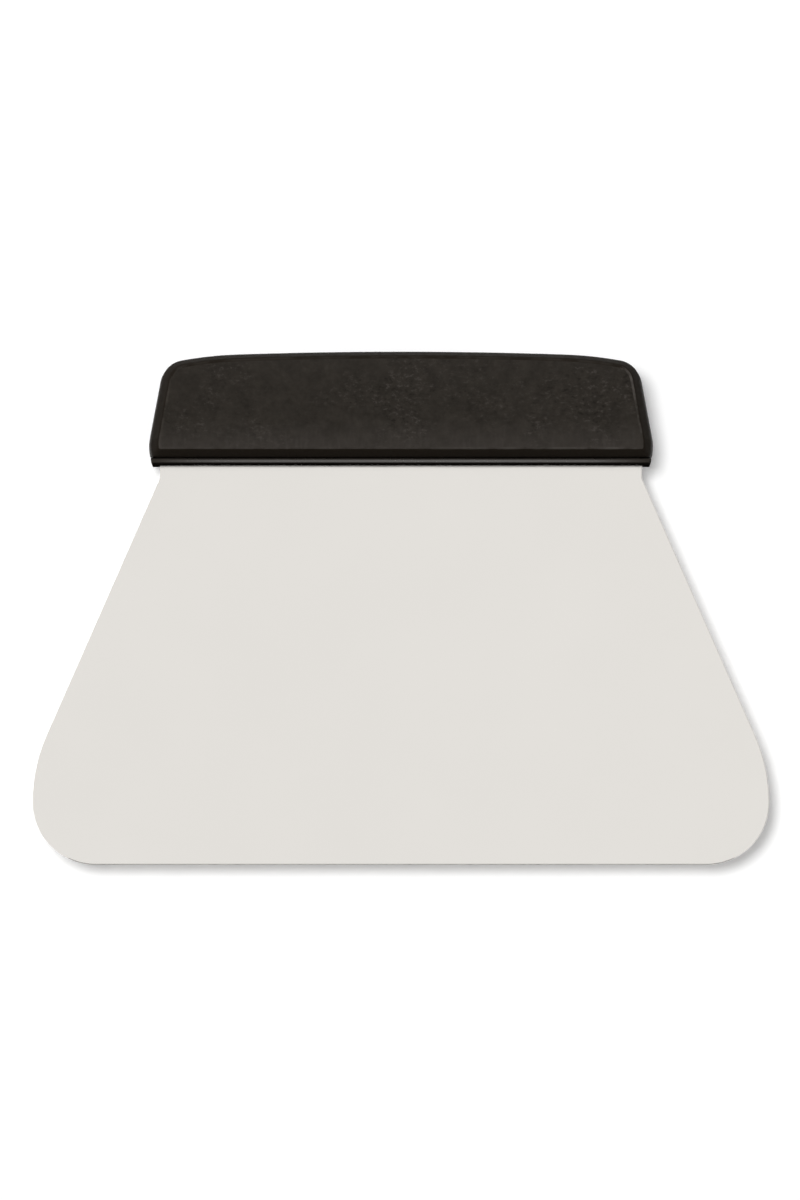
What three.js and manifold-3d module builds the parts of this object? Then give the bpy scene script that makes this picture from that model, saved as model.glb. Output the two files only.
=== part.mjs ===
// Dough scraper: a stainless sheet blade, a hard plastic core moulded round its tang, with a
// collar that shows below the handle, and a soft grip moulded over the core.
//
// Millimetres. In the tool's own frame X runs along the working edge, Y goes from that edge
// to the top of the handle, and Z comes out of the front face, with the middle of the sheet
// at Z = 0. The exported group lies on its back on a bench, with +Z up.
import * as THREE from 'three';
import { mergeVertices } from 'three/addons/utils/BufferGeometryUtils.js';
import Module from 'manifold-3d';

// Blade
const BLADE_WIDTH = 175.6; // widest, across the rounded lower corners
const BLADE_REACH = 95.65; // from the working edge to the lower end of the handle
const SHEET = 1.0; // thickness of the steel
const BLADE_CORNER = 15.0; // radius of the lower corners, up to the widest point
const FLANK_EASE = 40.0; // radius from the widest point on, which runs into the straight flank
const NECK_INSET = 2.6; // from the handle's widest point in to the side of the neck
const NECK_SHOWING = 3.15; // straight neck below the handle
const GRIND = 1.6; // height of the strip ground along the working edge, on both sides
const EDGE_LAND = 0.5; // thickness left at the working edge

// Tang, inside the handle
const SHOULDER_DEPTH = 0.4; // how far the full neck goes into the collar
const SHOULDER_STEP = 5.0; // from the side of the neck in to the side of the tang
const TANG_COVER = 5.0; // core above the tang
const TANG_CORNER = 3.0;
const ANCHOR_HOLES = 5;
const ANCHOR_DIAMETER = 6.0;
const ANCHOR_MARGIN = 12.0; // from the side of the tang in to the first hole

// Handle, seen from the front: arcs that run into each other, and a straight stretch up each end
const HANDLE_WIDTH = 120.3; // widest, a little above its lower end
const HANDLE_HEIGHT = 26.95;
const WIDEST_RISE = 4.45; // height of the widest point above the lower end
const END_RADIUS = 12.0; // round of each end, at its widest
const SIDE_LEAN = THREE.MathUtils.degToRad(10.6); // of the straight stretch, inwards going up
const CORNER_RADIUS = 6.1; // upper corners
const SHOULDER_RADIUS = 92.5; // between each corner and the crown
const SHOULDER_RUN = 21.0; // from the widest point in to where the shoulder meets the crown
const CROWN_RADIUS = 1150.0; // of the top

// Grip, in section
const GRIP_HALF = 7.8; // middle of the sheet to the face, at the face's lower edge
const WALL_HALF = 5.4; // half height of the wall between the two bevels
const BEVEL = 1.6; // width of the bevel along the top and the lower edge of each face
const END_BEVEL = 2.3; // its width at the ends
const WALL_DRAFT = THREE.MathUtils.degToRad(3);
const EDGE_EASE = 0.6; // rounding where wall, bevel and face meet

// Core, with the collar at its lower end
const COLLAR_HEIGHT = 1.25;
const COLLAR_HALF = 4.6; // half thickness of the collar
const COLLAR_ROUND = 0.4; // rounding of its lower edges
const COLLAR_EASE = 0.45; // height of the rounding of its upper edges
const CORE_HALF = 3.4; // half thickness of the core inside the grip
const CORE_COVER = 2.4; // soft grip round the core's ends and top
const CORE_ROUND = 0.8;
const STUDS = 4; // round studs on each side that key the grip into the core
const STUD_DIAMETER = 5.0;
const STUD_HEIGHT = 1.4;
const STUD_MARGIN = 18.0; // from the handle's widest point in to the first stud

// Moulded in place, with this clearance all round so that every piece is a solid of its own
const FIT = 0.3;

// Fineness of the curves
const END_STEPS = 3;
const CORNER_STEPS = 9;
const TOP_STEPS = 5;
const EASE_STEPS = 4;
const ROUND_STEPS = 16;

// Past a face that is cut through
const OVERCUT = 2.0;

const handleTop = BLADE_REACH + HANDLE_HEIGHT;
const neckHalf = HANDLE_WIDTH / 2 - NECK_INSET;
const tangHalf = neckHalf - SHOULDER_STEP;
const coreTop = handleTop - CORE_COVER;
const tangTop = coreTop - TANG_COVER;
const shoulderTop = BLADE_REACH + SHOULDER_DEPTH;
const collarTop = BLADE_REACH + COLLAR_HEIGHT;
const gripLower = collarTop + FIT;
const widestHeight = BLADE_REACH + WIDEST_RISE;

// The plane of each face of the grip touches the blade, at its edge or at the top of its ground
// strip, so the scraper lies flat on its back.
const faceLower = gripLower + BEVEL;
const slopeToEdge = (GRIP_HALF - EDGE_LAND / 2) / faceLower;
const slopeToStrip = (GRIP_HALF - SHEET / 2) / (faceLower - GRIND);
const faceSlope = Math.min(slopeToEdge, slopeToStrip);
const restAngle = Math.atan(faceSlope);

const wasm = await Module();
wasm.setup();

function solidOf(geometry) {
  const bare = geometry.index ? geometry.toNonIndexed() : geometry.clone();
  bare.deleteAttribute('normal');
  bare.deleteAttribute('uv');
  const merged = mergeVertices(bare, 1e-4);
  return new wasm.Manifold(
    new wasm.Mesh({
      numProp: 3,
      vertProperties: merged.attributes.position.array,
      triVerts: new Uint32Array(merged.index.array),
    }),
  );
}

function geometryOf(solid) {
  const mesh = solid.getMesh();
  const geometry = new THREE.BufferGeometry();
  geometry.setAttribute('position', new THREE.BufferAttribute(mesh.vertProperties, 3));
  geometry.setIndex(new THREE.BufferAttribute(mesh.triVerts, 1));
  geometry.computeVertexNormals();
  return geometry;
}

// A flat shape given a thickness on both sides of the sheet's middle.
function slab(shape, thickness) {
  const geometry = new THREE.ExtrudeGeometry(shape, {
    depth: thickness,
    bevelEnabled: false,
    curveSegments: ROUND_STEPS,
  });
  return geometry.translate(0, 0, -thickness / 2);
}

// A solid that is the same on both sides of X = 0. The profile holds, for each ring going
// up, how far it lies inside the outline (x) and its height (y). halfRing gives the right half
// of such a ring, from its lower end to its top.
function loft(halfRing, profile) {
  const positions = [];
  const faces = [];
  let count = 0;
  for (const level of profile) {
    const right = halfRing(level.x);
    const left = right.filter((point) => point.x > 0).reverse();
    for (const point of right) positions.push(point.x, point.y, level.y);
    for (const point of left) positions.push(-point.x, point.y, level.y);
    count = right.length + left.length;
  }
  for (let ring = 0; ring + 1 < profile.length; ring++) {
    for (let i = 0; i < count; i++) {
      const low = ring * count + i;
      const lowNext = ring * count + ((i + 1) % count);
      faces.push(low, lowNext, lowNext + count, low, lowNext + count, low + count);
    }
  }
  const top = (profile.length - 1) * count;
  for (let i = 0; 2 * i + 2 < count; i++) {
    const across = count - 1 - i;
    faces.push(across, i + 1, i, top + i, top + i + 1, top + across);
    if (i + 1 === across - 1) continue;
    faces.push(across, across - 1, i + 1, top + i + 1, top + across - 1, top + across);
  }
  const geometry = new THREE.BufferGeometry();
  geometry.setAttribute('position', new THREE.Float32BufferAttribute(positions, 3));
  geometry.setIndex(faces);
  return geometry;
}

// The same profile below the sheet's middle and above it.
function bothSides(profile) {
  const above = profile.filter((level) => level.y > 0);
  const below = above.map((level) => new THREE.Vector2(level.x, -level.y));
  return [...below.reverse(), ...profile];
}

// Heights grow with the distance from the working edge, as the handle's faces do.
function taper(geometry) {
  const position = geometry.attributes.position;
  for (let i = 0; i < position.count; i++) {
    const faceHeight = GRIP_HALF + faceSlope * (position.getY(i) - faceLower);
    position.setZ(i, (position.getZ(i) * faceHeight) / GRIP_HALF);
  }
  return geometry;
}

function turnedOver(geometry) {
  return geometry.clone().rotateY(Math.PI);
}

// A round peg along Z, between two heights.
function peg(x, y, diameter, lower, upper) {
  const geometry = new THREE.CylinderGeometry(diameter / 2, diameter / 2, upper - lower, ROUND_STEPS);
  return geometry.rotateX(Math.PI / 2).translate(x, y, (lower + upper) / 2);
}

// Places spread evenly from one end of a row to the other.
function spread(count, reach) {
  return Array.from({ length: count }, (_, i) => -reach + (2 * reach * i) / (count - 1));
}

// Carries a shape from the neck's right side over the tang to the left side, with shoulders
// where the neck steps in. The tang grows all round to make the slot that it sits in.
function traceTang(shape, grow) {
  const neck = neckHalf + grow;
  const tang = tangHalf + grow;
  const shoulder = shoulderTop + grow;
  const corner = TANG_CORNER + grow;
  const cornerX = tang - corner;
  const cornerY = tangTop + grow - corner;
  shape.lineTo(neck, shoulder);
  shape.lineTo(tang, shoulder);
  shape.absarc(cornerX, cornerY, corner, 0, Math.PI / 2, false);
  shape.absarc(-cornerX, cornerY, corner, Math.PI / 2, Math.PI, false);
  shape.lineTo(-tang, shoulder);
  shape.lineTo(-neck, shoulder);
}

function slotShape() {
  const mouth = BLADE_REACH - OVERCUT;
  const shape = new THREE.Shape();
  shape.moveTo(-neckHalf - FIT, mouth);
  shape.lineTo(neckHalf + FIT, mouth);
  traceTang(shape, FIT);
  return shape;
}

const anchorHeight = (shoulderTop + tangTop) / 2;
const anchorPlaces = spread(ANCHOR_HOLES, tangHalf - ANCHOR_MARGIN);

// Blade: straight working edge, round lower corners that ease into straight flanks, neck, tang.
function bladeShape() {
  const neckLower = BLADE_REACH - NECK_SHOWING;
  const cornerX = BLADE_WIDTH / 2 - BLADE_CORNER;
  const easeX = BLADE_WIDTH / 2 - FLANK_EASE;
  const toNeck = new THREE.Vector2(neckHalf - easeX, neckLower - BLADE_CORNER);
  const touch = toNeck.angle() - Math.acos(FLANK_EASE / toNeck.length());
  const shape = new THREE.Shape();
  shape.moveTo(cornerX, 0);
  shape.absarc(cornerX, BLADE_CORNER, BLADE_CORNER, -Math.PI / 2, 0, false);
  shape.absarc(easeX, BLADE_CORNER, FLANK_EASE, 0, touch, false);
  shape.lineTo(neckHalf, neckLower);
  traceTang(shape, 0);
  shape.lineTo(-neckHalf, neckLower);
  shape.absarc(-easeX, BLADE_CORNER, FLANK_EASE, Math.PI - touch, Math.PI, false);
  shape.absarc(-cornerX, BLADE_CORNER, BLADE_CORNER, Math.PI, Math.PI * 1.5, false);
  for (const x of anchorPlaces) {
    const hole = new THREE.Path();
    hole.absarc(x, anchorHeight, ANCHOR_DIAMETER / 2, 0, Math.PI * 2, true);
    shape.holes.push(hole);
  }
  return shape;
}

// What the grinding takes off one side of the working edge: a long wedge along X.
function grindWedge() {
  const rise = (SHEET - EDGE_LAND) / 2 / GRIND;
  const outer = GRIND + OVERCUT;
  const section = new THREE.Shape();
  section.moveTo(-OVERCUT, EDGE_LAND / 2 - OVERCUT * rise);
  section.lineTo(outer, EDGE_LAND / 2 + outer * rise);
  section.lineTo(-OVERCUT, EDGE_LAND / 2 + outer * rise);
  const length = BLADE_WIDTH + 2 * OVERCUT;
  const geometry = new THREE.ExtrudeGeometry(section, { depth: length, bevelEnabled: false });
  const alongX = new THREE.Matrix4().makeBasis(
    new THREE.Vector3(0, 1, 0),
    new THREE.Vector3(0, 0, 1),
    new THREE.Vector3(1, 0, 0),
  );
  return geometry.applyMatrix4(alongX).translate(-length / 2, 0, 0);
}

function makeBlade() {
  const wedge = grindWedge();
  const blank = solidOf(slab(bladeShape(), SHEET));
  return blank.subtract(solidOf(wedge)).subtract(solidOf(turnedOver(wedge)));
}

// Centres of the arcs at the handle's right end. The crown and the shoulder share a tangent, and
// the corner touches the shoulder and the straight stretch.
const crownStart = Math.acos((HANDLE_WIDTH / 2 - SHOULDER_RUN) / CROWN_RADIUS);
const crownCentre = new THREE.Vector2(0, handleTop - CROWN_RADIUS);
const shoulderCentre = crownCentre
  .clone()
  .addScaledVector(facing(crownStart), CROWN_RADIUS - SHOULDER_RADIUS);
const endCentre = new THREE.Vector2(HANDLE_WIDTH / 2 - END_RADIUS, widestHeight);
const cornerCentre = touchingCentre();
const cornerStop = cornerCentre.clone().sub(shoulderCentre).angle();

function facing(angle) {
  return new THREE.Vector2(Math.cos(angle), Math.sin(angle));
}

// Centre of the corner: up the end by the length of the straight stretch.
function touchingCentre() {
  const up = facing(SIDE_LEAN + Math.PI / 2);
  const foot = endCentre.clone().addScaledVector(facing(SIDE_LEAN), END_RADIUS - CORNER_RADIUS);
  const fromShoulder = foot.clone().sub(shoulderCentre);
  const along = fromShoulder.dot(up);
  const across = fromShoulder.cross(up);
  const reach = Math.sqrt((SHOULDER_RADIUS - CORNER_RADIUS) ** 2 - across ** 2);
  return foot.addScaledVector(up, reach - along);
}

function arc(centre, radius, from, to, steps) {
  return new THREE.ArcCurve(centre.x, centre.y, radius, from, to, false).getPoints(steps);
}

// Where the round of the end passes a height below the widest point, as an angle.
function endAngle(height, inset) {
  return Math.asin((height - widestHeight) / (END_RADIUS - inset));
}

// Right half of the handle's outline above a height, moved in.
function handleRing(inset, lower) {
  return [
    ...arc(endCentre, END_RADIUS - inset, endAngle(lower, inset), 0, END_STEPS),
    ...arc(endCentre, END_RADIUS - inset, 0, SIDE_LEAN, END_STEPS).slice(1),
    ...arc(cornerCentre, CORNER_RADIUS - inset, SIDE_LEAN, cornerStop, CORNER_STEPS),
    ...arc(shoulderCentre, SHOULDER_RADIUS - inset, cornerStop, crownStart, TOP_STEPS).slice(1),
    ...arc(crownCentre, CROWN_RADIUS - inset, crownStart, Math.PI / 2, TOP_STEPS).slice(1, -1),
    new THREE.Vector2(0, handleTop - inset),
  ];
}

// The lower edge of the grip moves in as well, and the ends move in further.
function gripRing(inset) {
  const atEnds = (inset * END_BEVEL) / BEVEL;
  const narrowing = 1 - (atEnds - inset) / (HANDLE_WIDTH / 2);
  const ring = handleRing(inset, gripLower + inset);
  return ring.map((point) => new THREE.Vector2(point.x * narrowing, point.y));
}

// The core starts inside the collar.
function coreRing(inset) {
  return handleRing(CORE_COVER + inset, (BLADE_REACH + collarTop) / 2);
}

// The hollow of the grip is open below, where the core comes out.
function hollowRing(inset) {
  return handleRing(CORE_COVER - FIT + inset, BLADE_REACH);
}

// The collar is flush with the ends of the grip. Its lower and upper edges are rounded.
function collarRing(inset) {
  const from = endAngle(BLADE_REACH + inset, inset);
  const to = endAngle(collarTop - (inset * COLLAR_EASE) / COLLAR_ROUND, inset);
  return arc(endCentre, END_RADIUS - inset, from, to, END_STEPS);
}

// Wall, bevel and face edge of the grip, from the sheet's middle out, with eased corners.
function gripProfile() {
  const draft = Math.tan(WALL_DRAFT);
  const easeStart = WALL_HALF - EDGE_EASE;
  const wallTop = new THREE.Vector2(WALL_HALF * draft, WALL_HALF);
  const faceEdge = new THREE.Vector2(BEVEL, GRIP_HALF);
  const along = faceEdge.clone().sub(wallTop).normalize();
  const leaveWall = wallTop.clone().addScaledVector(along, EDGE_EASE);
  const meetFace = faceEdge.clone().addScaledVector(along, -EDGE_EASE);
  const path = new THREE.Path();
  path.moveTo(0, 0);
  path.lineTo(easeStart * draft, easeStart);
  path.quadraticCurveTo(wallTop.x, wallTop.y, leaveWall.x, leaveWall.y);
  path.lineTo(meetFace.x, meetFace.y);
  path.quadraticCurveTo(faceEdge.x, faceEdge.y, faceEdge.x + EDGE_EASE, faceEdge.y);
  return path.getPoints(EASE_STEPS);
}

// A wall rounded into a flat at a height.
function roundedEdge(radius, height) {
  const path = new THREE.Path();
  path.absarc(radius, height - radius, radius, Math.PI, Math.PI / 2, true);
  return path.getPoints(EASE_STEPS);
}

// The slot that the tang fills. Pegs of plastic stay in it where the tang has its holes.
function makeSlot() {
  const half = SHEET / 2 + OVERCUT;
  let slot = solidOf(slab(slotShape(), SHEET + 2 * FIT));
  for (const x of anchorPlaces) {
    slot = slot.subtract(solidOf(peg(x, anchorHeight, ANCHOR_DIAMETER - 2 * FIT, -half, half)));
  }
  return slot;
}

// Round studs on both sides, between two heights above the sheet's middle.
const studHeight = (gripLower + coreTop) / 2;
const studPlaces = spread(STUDS, HANDLE_WIDTH / 2 - STUD_MARGIN);

function studs(diameter, lower, upper) {
  return studPlaces.flatMap((x) => {
    const stud = taper(peg(x, studHeight, diameter, lower, upper));
    return [solidOf(stud), solidOf(turnedOver(stud))];
  });
}

function makeCore() {
  const collar = solidOf(loft(collarRing, bothSides(roundedEdge(COLLAR_ROUND, COLLAR_HALF))));
  const inner = solidOf(taper(loft(coreRing, bothSides(roundedEdge(CORE_ROUND, CORE_HALF)))));
  const sockets = studs(STUD_DIAMETER + 2 * FIT, CORE_HALF - STUD_HEIGHT, CORE_HALF + OVERCUT);
  const moulded = collar.add(inner).subtract(makeSlot());
  return sockets.reduce((core, socket) => core.subtract(socket), moulded);
}

function makeGrip() {
  const hollowHalf = CORE_HALF + FIT;
  const block = solidOf(taper(loft(gripRing, bothSides(gripProfile()))));
  const hollow = solidOf(taper(loft(hollowRing, bothSides(roundedEdge(CORE_ROUND, hollowHalf)))));
  const keys = studs(STUD_DIAMETER, hollowHalf - STUD_HEIGHT, hollowHalf + FIT);
  return keys.reduce((grip, key) => grip.add(key), block.subtract(hollow));
}

const steel = new THREE.MeshStandardMaterial({ color: 0xe2dfda, roughness: 0.3, metalness: 1.0 });
const hardPlastic = new THREE.MeshStandardMaterial({ color: 0x14110e, roughness: 0.3, metalness: 0.0 });
const softRubber = new THREE.MeshStandardMaterial({ color: 0x2f2b27, roughness: 0.75, metalness: 0.0 });

function piece(name, geometry, material) {
  const mesh = new THREE.Mesh(geometry, material);
  mesh.name = name;
  return mesh;
}

const tool = new THREE.Group();
tool.add(piece('blade', geometryOf(makeBlade()), steel));
tool.add(piece('handle_core', geometryOf(makeCore()), hardPlastic));
tool.add(piece('soft_grip', geometryOf(makeGrip()), softRubber));

// On its back, with the grip's rear face and the blade on the bench, centred over its box.
tool.rotation.x = restAngle;
const scraper = new THREE.Group();
scraper.add(tool);
const box = new THREE.Box3().setFromObject(scraper, true);
const centre = box.getCenter(new THREE.Vector3());
tool.position.set(-centre.x, -centre.y, -box.min.z);

export default scraper;
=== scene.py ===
"""Dough scraper: a steel blade, a hard core with a collar and a soft grip, on a pale floor."""
import math

import bmesh
import bpy
from bpy.props import FloatProperty, FloatVectorProperty, IntProperty, PointerProperty
from mathutils import Matrix, Vector


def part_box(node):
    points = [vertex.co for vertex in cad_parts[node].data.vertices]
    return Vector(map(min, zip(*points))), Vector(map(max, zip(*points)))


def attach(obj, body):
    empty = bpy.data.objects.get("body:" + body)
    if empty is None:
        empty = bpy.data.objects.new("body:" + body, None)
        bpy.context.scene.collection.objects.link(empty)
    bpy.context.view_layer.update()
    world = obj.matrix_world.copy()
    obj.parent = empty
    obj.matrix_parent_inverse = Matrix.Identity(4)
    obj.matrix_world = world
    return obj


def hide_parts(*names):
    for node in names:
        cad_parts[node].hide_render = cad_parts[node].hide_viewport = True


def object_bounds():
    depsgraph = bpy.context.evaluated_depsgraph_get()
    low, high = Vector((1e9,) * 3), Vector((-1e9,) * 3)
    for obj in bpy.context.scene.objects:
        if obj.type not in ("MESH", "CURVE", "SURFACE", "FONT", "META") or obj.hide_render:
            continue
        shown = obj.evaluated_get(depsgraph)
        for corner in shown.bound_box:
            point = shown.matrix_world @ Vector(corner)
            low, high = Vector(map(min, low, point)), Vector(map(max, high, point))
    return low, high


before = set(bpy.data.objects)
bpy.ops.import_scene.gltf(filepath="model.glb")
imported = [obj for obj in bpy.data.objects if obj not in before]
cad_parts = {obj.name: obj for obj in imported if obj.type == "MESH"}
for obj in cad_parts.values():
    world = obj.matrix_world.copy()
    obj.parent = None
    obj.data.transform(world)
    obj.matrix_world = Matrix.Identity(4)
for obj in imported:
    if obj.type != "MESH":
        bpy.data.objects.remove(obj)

bl_info = {
    "name": "Dough Scraper",
    "version": (1, 0, 0),
    "blender": (4, 5, 0),
    "location": "3D View > Sidebar > Scraper",
    "description": "Builds a dough scraper with its finishes, and a stage to show it on",
    "category": "Add Mesh",
}

MM = 0.001
# Points that lie closer than this are one point.
MERGE = 0.001 * MM

CAD_LOW, CAD_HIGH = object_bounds()
BLADE_LOW, BLADE_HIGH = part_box("blade")
GRIP_LOW, GRIP_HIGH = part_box("soft_grip")

# The photograph: its height in pixels, and how much of the scraper's plane one pixel covers.
PHOTO_HEIGHT = 1200
PIXEL = 0.2386 * MM


def length(name, description, default):
    """A size that a user may change, in metres."""
    return FloatProperty(
        name=name, description=description, default=default, min=0.0, precision=5, unit="LENGTH"
    )


def angle(name, description, degrees):
    """An angle that a user may change."""
    return FloatProperty(
        name=name, description=description, default=math.radians(degrees), subtype="ANGLE"
    )


def share(name, description, default):
    """A plain number from 0 to 1 that a user may change."""
    return FloatProperty(
        name=name, description=description, default=default, min=0.0, max=1.0, subtype="FACTOR"
    )


def colour(name, description, default):
    """A colour that a user may change."""
    return FloatVectorProperty(
        name=name, description=description, default=default, min=0.0, max=1.0, size=3, subtype="COLOR"
    )


class BladeSizes(bpy.types.PropertyGroup):
    """Sizes of the steel blade and its tang."""

    width: length("Width", "Widest, across the rounded lower corners", BLADE_HIGH.x - BLADE_LOW.x)
    reach: length("Reach", "From the working edge to the lower end of the handle", 95.65 * MM)
    sheet: length("Sheet", "Thickness of the steel", 1.0 * MM)
    corner: length("Corner radius", "Radius of the lower corners, up to the widest point", 15.0 * MM)
    flank_ease: length("Flank ease", "Radius from the widest point on into the flank", 40.0 * MM)
    neck_inset: length("Neck inset", "From the handle's widest point in to the neck", 2.6 * MM)
    neck_showing: length("Neck showing", "Straight neck below the handle", 3.15 * MM)
    grind: length("Grind", "Height of the strip ground along the working edge", 1.6 * MM)
    edge_land: length("Edge land", "Thickness left at the working edge", 0.5 * MM)
    edge_round: length("Edge round", "Rounding of the sheet's cut edges", 0.18 * MM)
    shoulder_depth: length("Shoulder depth", "How far the full neck goes into the collar", 0.4 * MM)
    shoulder_step: length("Shoulder step", "From the neck's side in to the tang's side", 5.0 * MM)
    tang_cover: length("Tang cover", "Core above the tang", 5.0 * MM)
    tang_corner: length("Tang corner", "Radius of the tang's upper corners", 3.0 * MM)
    anchor_count: IntProperty(name="Anchor holes", description="Holes in the tang", default=5, min=2)
    anchor_diameter: length("Anchor diameter", "Diameter of the holes in the tang", 6.0 * MM)
    anchor_margin: length("Anchor margin", "From the tang's side to the first hole", 12.0 * MM)


class HandleSizes(bpy.types.PropertyGroup):
    """The handle seen from the front: arcs, with a straight stretch up each end."""

    width: length("Width", "Widest, a little above the lower end", GRIP_HIGH.x - GRIP_LOW.x)
    height: length("Height", "From the lower end of the collar to the top", 26.95 * MM)
    widest_rise: length("Widest rise", "Height of the widest point above the lower end", 4.45 * MM)
    end_radius: length("End radius", "Round of each end, at its widest", 12.0 * MM)
    side_lean: angle("Side lean", "Lean of the straight stretch, inwards going up", 10.6)
    corner_radius: length("Corner radius", "Radius of the upper corners", 6.1 * MM)
    shoulder_radius: length("Shoulder radius", "Between each corner and the crown", 92.5 * MM)
    shoulder_run: length("Shoulder run", "From the widest point in to the crown", 21.0 * MM)
    crown_radius: length("Crown radius", "Radius of the top", 1150.0 * MM)


class GripSizes(bpy.types.PropertyGroup):
    """The soft grip in section."""

    half: length("Half thickness", "From the sheet's middle to the face, at its lower edge", 7.8 * MM)
    wall_half: length("Wall half", "Half height of the wall between the two bevels", 5.4 * MM)
    bevel: length("Bevel", "Width of the bevel along the top and lower edge of each face", 1.6 * MM)
    end_bevel: length("End bevel", "Width of the bevel at the ends", 2.3 * MM)
    wall_draft: angle("Wall draft", "Lean of the wall", 3.0)
    edge_ease: length("Edge ease", "Rounding where wall, bevel and face meet", 0.62 * MM)
    face_margin: length("Face margin", "Strip of the face that takes up the rounding", 1.2 * MM)


class CoreSizes(bpy.types.PropertyGroup):
    """The hard core, with the collar at its lower end."""

    collar_height: length("Collar height", "Height of the collar", 1.3 * MM)
    collar_half: length("Collar half", "Half thickness of the collar", 4.6 * MM)
    collar_round: length("Collar round", "Rounding of the collar's lower edges", 0.55 * MM)
    collar_ease: length("Collar ease", "Height of the rounding of the collar's upper edges", 0.5 * MM)
    half: length("Core half", "Half thickness of the core inside the grip", 3.4 * MM)
    cover: length("Core cover", "Soft grip round the core's ends and top", 2.4 * MM)
    fit: length("Fit", "Clearance between the mouldings", 0.25 * MM)


class Finishes(bpy.types.PropertyGroup):
    """Colours of the surfaces."""

    steel: colour("Steel", "Satin stainless steel", (0.770, 0.747, 0.710))
    # The same plastic in a lit and a shaded copy: the paler one is a painted highlight on the collar's
    # outside, the darker one painted shade under it.
    core: colour("Core", "Hard black plastic", (0.010, 0.0085, 0.007))
    core_polished_lit: colour("Collar", "The same plastic where it is polished", (0.032, 0.028, 0.024))
    grip: colour("Grip", "Soft black rubber", (0.0235, 0.0202, 0.0165))
    # This paler colour serves the face's specks and scratches, and also the painted light of the strips
    # along its lower edge and top.
    grip_pale: colour("Grip, rubbed", "Rubber rubbed paler on its face", (0.0565, 0.0495, 0.0445))
    # Painted shade: the bevels and walls are painted darker than the face because they are lit less.
    grip_edge_shade: colour("Grip, off its face", "Rubber of the bevels and walls", (0.0130, 0.0099, 0.0070))
    # Painted highlight: this paler colour along the edge of the face stands for light caught on the
    # rounding.
    grip_sheen: colour("Grip, worn", "Rubber rubbed smooth along its edges", (0.085, 0.077, 0.069))
    floor: colour("Floor", "Plain pale floor", (0.80, 0.80, 0.80))


class StageSettings(bpy.types.PropertyGroup):
    """Camera, light and floor."""

    view_tilt: angle("View tilt", "From square on to the blade towards its working edge", 5.2)
    distance: length("Distance", "From the camera to the scraper", 6.0)
    aim_height: length("Aim height", "From the working edge to the middle of the picture", 63.4 * MM)
    aim_side: FloatProperty(
        name="Aim side",
        description="From the middle of the scraper to the middle of the picture, to the right",
        default=-0.25 * MM,
        unit="LENGTH",
    )
    key_tilt: angle("Key tilt", "Of the key light, from straight overhead", 9.5)
    key_turn: angle("Key turn", "Of the key light, from the back towards the left", 90.0)
    key_size: angle("Key size", "Angle that the key light spans", 18.0)
    key_level: share("Key level", "Light from the key, where 1 lights a white surface in full", 0.78)
    ambient: share("Ambient", "Light from all round, where 1 lights a white surface in full", 0.25)
    floor_glow: share("Floor glow", "How much of the floor's white is its own", 0.28)
    floor_size: length("Floor size", "Side of the floor", 6.0)
    floor_slope: angle("Floor slope", "How the floor falls away from the handle to the working edge", 5.0)


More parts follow.
